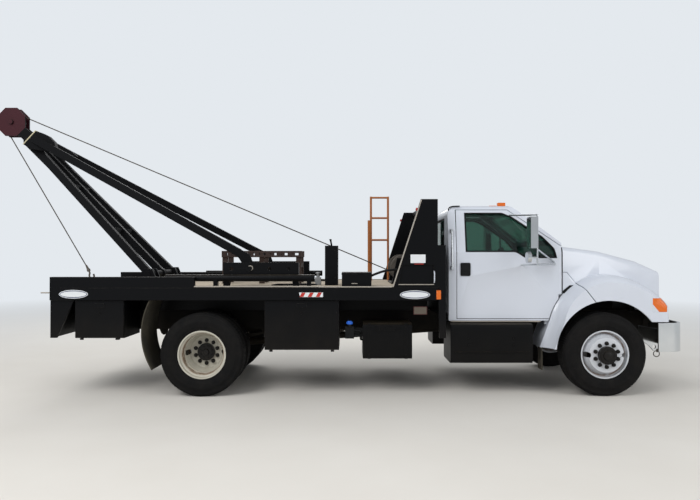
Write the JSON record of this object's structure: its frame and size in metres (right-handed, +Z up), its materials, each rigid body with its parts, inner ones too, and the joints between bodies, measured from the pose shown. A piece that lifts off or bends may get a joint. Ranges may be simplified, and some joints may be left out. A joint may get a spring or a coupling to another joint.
{
  "type": "rig up truck",
  "caption": "Bonneted two axle truck with an oilfield winch bed, leaning tail mast with sheave, deck struts, steering, doors, tilting hood and opening toolboxes.",
  "frame": {"origin": "on the ground, below the middle of the truck's overall box", "axes": "+X forward, +Y to the truck's left, +Z up"},
  "size_m": [9.0848, 2.68, 3.795],
  "materials": {
    "chassis_black": "satin chassis paint",
    "engine_grey": "cast, dusty",
    "white_paint": "gloss white",
    "clear_glass": "clear safety glass",
    "grey_trim": "matte",
    "lamp_lens": "clear lens",
    "chrome_plate": "bright plate",
    "bed_black": "satin black",
    "deck_steel": "worn and dusty",
    "tank_black": "satin black",
    "winch_steel": "worn",
    "block_red": "dull red",
    "rack_red": "rust red",
    "rack_brown": "rusty brown",
    "flap_rubber": "matte",
    "amber_lens": "amber lens",
    "wheel_white": "gloss white, dusty",
    "tyre_rubber": "matte, dusty"
  },
  "bodies": {
    "truck": {"frame_rails": "chassis_black", "frame_crossmembers": "chassis_black", "front_axle": "chassis_black", "rear_axle": "chassis_black", "leaf_springs": "chassis_black", "powertrain": "engine_grey", "exhaust": "engine_grey", "cab_shell": "white_paint", "cab_glass": "clear_glass", "cab_interior": "grey_trim", "grab_handles": "chrome_plate", "splash_panels": "white_paint", "front_bumper": "chrome_plate", "bed_sills": "bed_black", "bed_crossmembers": "bed_black", "bed_side_rails": "bed_black", "bed_deck": "deck_steel", "headache_rack": "bed_black", "rack_panels": "bed_black", "tanks": "tank_black", "winch_frame": "bed_black", "strut_guides": "bed_black", "deck_rack": "rack_red", "control_stand": "bed_black", "ladder_rack": "rack_brown", "mudflaps": "flap_rubber", "marker_lamps": "amber_lens", "toolboxes": "bed_black"},
    "bonnet": {"hood": "white_paint", "grille": "chrome_plate", "headlamps": "lamp_lens"},
    "track_rod": {"tie_rod": "chassis_black"},
    "mast": {"mast_legs": "bed_black", "sheave_block": "block_red"},
    "struts": {"mast_struts": "bed_black"},
    "pulley": {"sheave": "winch_steel"},
    "drum": {"winch_drum": "winch_steel"},
    "door_right": {"door_right": "white_paint", "window_frame_right": "white_paint", "door_glass_right": "clear_glass", "mirror_right": "chrome_plate"},
    "steering_right": {"knuckle_right": "chassis_black"},
    "front_wheel_right": {"wheel_front_right": "wheel_white", "tyre_front_right": "tyre_rubber"},
    "rear_wheels_right": {"wheels_rear_right": "wheel_white", "tyres_rear_right": "tyre_rubber"},
    "lid_rear_right": {"lid_rear_right": "bed_black"},
    "lid_mid_right": {"lid_mid_right": "bed_black"},
    "door_left": {"door_left": "white_paint", "window_frame_left": "white_paint", "door_glass_left": "clear_glass", "mirror_left": "chrome_plate"},
    "steering_left": {"knuckle_left": "chassis_black"},
    "front_wheel_left": {"wheel_front_left": "wheel_white", "tyre_front_left": "tyre_rubber"},
    "rear_wheels_left": {"wheels_rear_left": "wheel_white", "tyres_rear_left": "tyre_rubber"},
    "lid_rear_left": {"lid_rear_left": "bed_black"},
    "lid_mid_left": {"lid_mid_left": "bed_black"}
  },
  "joints": [
    {"name": "hood_tilt", "type": "hinge", "parent": "truck", "child": "bonnet", "pos_m": [4.43, 0, 0.88], "axis": [0, 1, 0], "range_deg": [0, 60]},
    {"name": "tie_rod_slide", "type": "slide", "parent": "truck", "child": "track_rod", "axis": [0, 1, 0], "range_m": [-0.115, 0.115]},
    {"name": "mast_raise", "type": "hinge", "parent": "truck", "child": "mast", "pos_m": [-2.244, 0, 1.48], "axis": [0, 1, 0], "range_deg": [-16, 20]},
    {"name": "strut_swing", "type": "hinge", "parent": "mast", "child": "struts", "pos_m": [-3.991, 0, 3.282], "axis": [0, 1, 0], "range_deg": [-10, 8]},
    {"name": "sheave_spin", "type": "hinge", "parent": "mast", "child": "pulley", "pos_m": [-4.343, 0, 3.598], "axis": [0, 1, 0], "continuous": true},
    {"name": "drum_spin", "type": "hinge", "parent": "truck", "child": "drum", "pos_m": [1.135, 0, 1.56], "axis": [0, 1, 0], "continuous": true},
    {"name": "steer_right", "type": "hinge", "parent": "truck", "child": "steering_right", "pos_m": [3.524, -0.9, 0.511], "axis": [0, 0, 1], "range_deg": [-32, 32]},
    {"name": "front_wheel_spin_right", "type": "hinge", "parent": "steering_right", "child": "front_wheel_right", "pos_m": [3.524, -1.035, 0.511], "axis": [0, 1, 0], "continuous": true},
    {"name": "rear_wheels_spin_right", "type": "hinge", "parent": "truck", "child": "rear_wheels_right", "pos_m": [-1.404, -0.895, 0.511], "axis": [0, 1, 0], "continuous": true},
    {"name": "door_swing_right", "type": "hinge", "parent": "truck", "child": "door_right", "pos_m": [3.043, -0.978, 1.3], "axis": [0, 0, 1], "range_deg": [0, 65]},
    {"name": "lid_rear_right_swing", "type": "hinge", "parent": "truck", "child": "lid_rear_right", "pos_m": [-2.6485, -1.176, 0.704], "axis": [1, 0, 0], "range_deg": [0, 95]},
    {"name": "lid_mid_right_swing", "type": "hinge", "parent": "truck", "child": "lid_mid_right", "pos_m": [-0.184, -1.176, 0.56], "axis": [1, 0, 0], "range_deg": [0, 95]},
    {"name": "steer_left", "type": "hinge", "parent": "truck", "child": "steering_left", "pos_m": [3.524, 0.9, 0.511], "axis": [0, 0, 1], "range_deg": [-32, 32]},
    {"name": "front_wheel_spin_left", "type": "hinge", "parent": "steering_left", "child": "front_wheel_left", "pos_m": [3.524, 1.035, 0.511], "axis": [0, 1, 0], "continuous": true},
    {"name": "rear_wheels_spin_left", "type": "hinge", "parent": "truck", "child": "rear_wheels_left", "pos_m": [-1.404, 0.895, 0.511], "axis": [0, 1, 0], "continuous": true},
    {"name": "door_swing_left", "type": "hinge", "parent": "truck", "child": "door_left", "pos_m": [3.043, 0.978, 1.3], "axis": [0, 0, -1], "range_deg": [0, 65]},
    {"name": "lid_rear_left_swing", "type": "hinge", "parent": "truck", "child": "lid_rear_left", "pos_m": [-2.6485, 1.176, 0.704], "axis": [-1, 0, 0], "range_deg": [0, 95]},
    {"name": "lid_mid_left_swing", "type": "hinge", "parent": "truck", "child": "lid_mid_left", "pos_m": [-0.184, 1.176, 0.56], "axis": [-1, 0, 0], "range_deg": [0, 95]}
  ],
  "couplings": [
    {"joint": "steer_left", "follows": "steer_right", "ratio": 1},
    {"joint": "tie_rod_slide", "follows": "steer_right", "m_per_rad": -0.2},
    {"joint": "strut_swing", "follows": "mast_raise", "ratio": -0.47}
  ]
}
